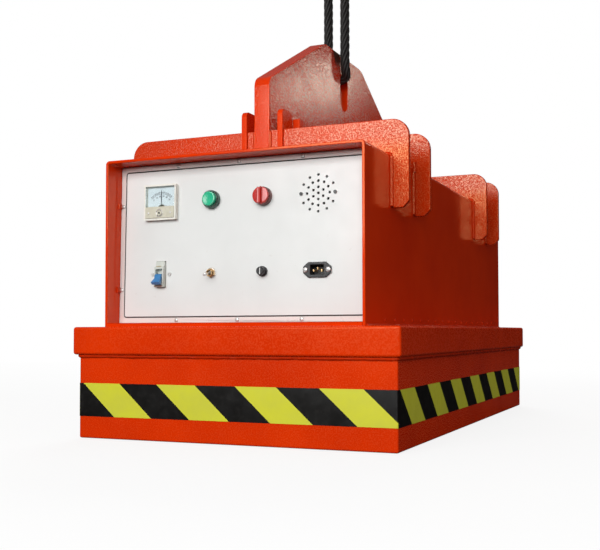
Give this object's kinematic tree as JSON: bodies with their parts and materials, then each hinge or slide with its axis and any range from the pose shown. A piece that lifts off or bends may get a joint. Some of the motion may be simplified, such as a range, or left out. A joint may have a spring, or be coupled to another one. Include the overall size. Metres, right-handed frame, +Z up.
{
  "type": "lifting magnet",
  "caption": "Battery-powered rectangular lifting magnet: steel pole base, red control case with front panel, strap plates, central slotted lug and rope sling.",
  "frame": {"origin": "middle of the pole face that rests on the load", "axes": "+Z up towards the lug, -Y out of the control panel, the long side of the magnet runs along Y"},
  "size_m": [0.6, 1, 0.9999],
  "materials": {
    "red_paint": "glossy orange-red enamel with a slight orange peel, worn at the edges",
    "bare_steel": "ground steel",
    "winding": "varnished copper winding",
    "hazard_tape": "adhesive tape, yellow and black slanting bands",
    "panel_border": "greyish pink paint",
    "panel_paint": "satin off-white paint",
    "seal": "dull black rubber",
    "zinc": "zinc plated",
    "brass": "nickel-worn brass",
    "instrument_case": "cream-grey moulding",
    "meter_scale": "pale blue-white dial card",
    "black_plastic": "semi-gloss black moulding",
    "green_plastic": "mint green cap",
    "button_ring": "dark anodised ring",
    "red_plastic": "red knob",
    "breaker_plastic": "grey-white moulding",
    "blue_plastic": "blue toggle",
    "battery_plastic": "dark grey battery box",
    "copper_bar": "bare copper bar",
    "bracket_steel": "grey painted sheet",
    "charger_case": "finned aluminium case",
    "terminal_plastic": "beige terminal strip",
    "circuit_board": "green circuit board",
    "sling_rubber": "black covered rope"
  },
  "bodies": {
    "magnet": {"base_cover": "bare_steel", "battery_1": "battery_plastic", "battery_2": "battery_plastic", "battery_3": "battery_plastic", "battery_charger": "charger_case", "battery_clamp": "bracket_steel", "battery_link_1": "copper_bar", "battery_link_2": "copper_bar", "battery_tray": "bracket_steel", "board_shelf": "bracket_steel", "breaker_case": "breaker_plastic", "breaker_clamp": "zinc", "case_floor": "red_paint", "case_shell": "red_paint", "centre_pole": "bare_steel", "control_board": "circuit_board", "control_panel": "panel_paint", "excitation_coil": "winding", "front_ear_left": "red_paint", "front_ear_right": "red_paint", "fuse_holder": "black_plastic", "fuse_link": "zinc", "guide_post": "red_paint", "hazard_tape": "hazard_tape", "inlet_clamp_and_screws": "zinc", "magnet_contactor": "black_plastic", "magnet_lead": "seal", "main_lug": "red_paint", "meter_case": "instrument_case", "meter_dial": "meter_scale", "meter_window": "instrument_case", "outer_pole": "red_paint", "panel_frame": "panel_border", "panel_gasket": "seal", "panel_seat_and_screws": "zinc", "power_inlet": "black_plastic", "rear_cover": "red_paint", "rear_ear_left": "red_paint", "rear_ear_right": "red_paint", "rear_frame_and_screws": "zinc", "saddle_1": "red_paint", "saddle_2": "red_paint", "saddle_3": "red_paint", "saddle_4": "red_paint", "selector_bezel": "button_ring", "sounder": "black_plastic", "start_button_bezel": "button_ring", "terminal_block": "terminal_plastic", "toggle_switch_body": "brass", "toggle_switch_nut": "brass", "top_yoke": "red_paint"},
    "needle": {"meter_needle": "black_plastic"},
    "zero_screw": {"meter_zero_screw": "black_plastic"},
    "green_button": {"start_button": "green_plastic"},
    "selector": {"selector_knob": "red_plastic"},
    "breaker_lever": {"breaker_toggle": "blue_plastic"},
    "switch_lever": {"toggle_switch_lever": "zinc"},
    "fuse_bayonet": {"fuse_cap": "black_plastic"},
    "sling_loop": {"sling": "sling_rubber"}
  },
  "joints": [
    {"name": "needle_swing", "type": "hinge", "parent": "magnet", "child": "needle", "pos_m": [-0.1495, -0.45346, 0.39781], "axis": [0, -0.9997, 0.0239], "range_deg": [-45, 45], "stiffness_Nm_per_rad": 0.002},
    {"name": "zero_screw_turn", "type": "hinge", "parent": "magnet", "child": "zero_screw", "pos_m": [-0.1495, -0.45965, 0.38996], "axis": [0, -0.9997, 0.0239], "range_deg": [-45, 45]},
    {"name": "green_button_press", "type": "slide", "parent": "magnet", "child": "green_button", "axis": [0, 0.9997, -0.0239], "range_m": [0, 0.004], "stiffness_N_per_m": 600},
    {"name": "selector_turn", "type": "hinge", "parent": "magnet", "child": "selector", "pos_m": [0.047, -0.4602, 0.40898], "axis": [0, -0.9997, 0.0239], "range_deg": [-45, 45]},
    {"name": "breaker_flip", "type": "hinge", "parent": "magnet", "child": "breaker_lever", "pos_m": [-0.1495, -0.46011, 0.27894], "axis": [-1, 0, 0], "range_deg": [0, 96]},
    {"name": "switch_flip", "type": "hinge", "parent": "magnet", "child": "switch_lever", "pos_m": [-0.0505, -0.45669, 0.28386], "axis": [-1, 0, 0], "range_deg": [0, 24]},
    {"name": "fuse_cap_turn", "type": "hinge", "parent": "magnet", "child": "fuse_bayonet", "pos_m": [0.047, -0.46119, 0.28397], "axis": [0, -0.9997, 0.0239], "range_deg": [0, 45]},
    {"name": "sling_swing", "type": "hinge", "parent": "magnet", "child": "sling_loop", "pos_m": [0, 0, 0.714], "axis": [1, 0, 0], "range_deg": [-30, 30], "stiffness_Nm_per_rad": 2}
  ]
}
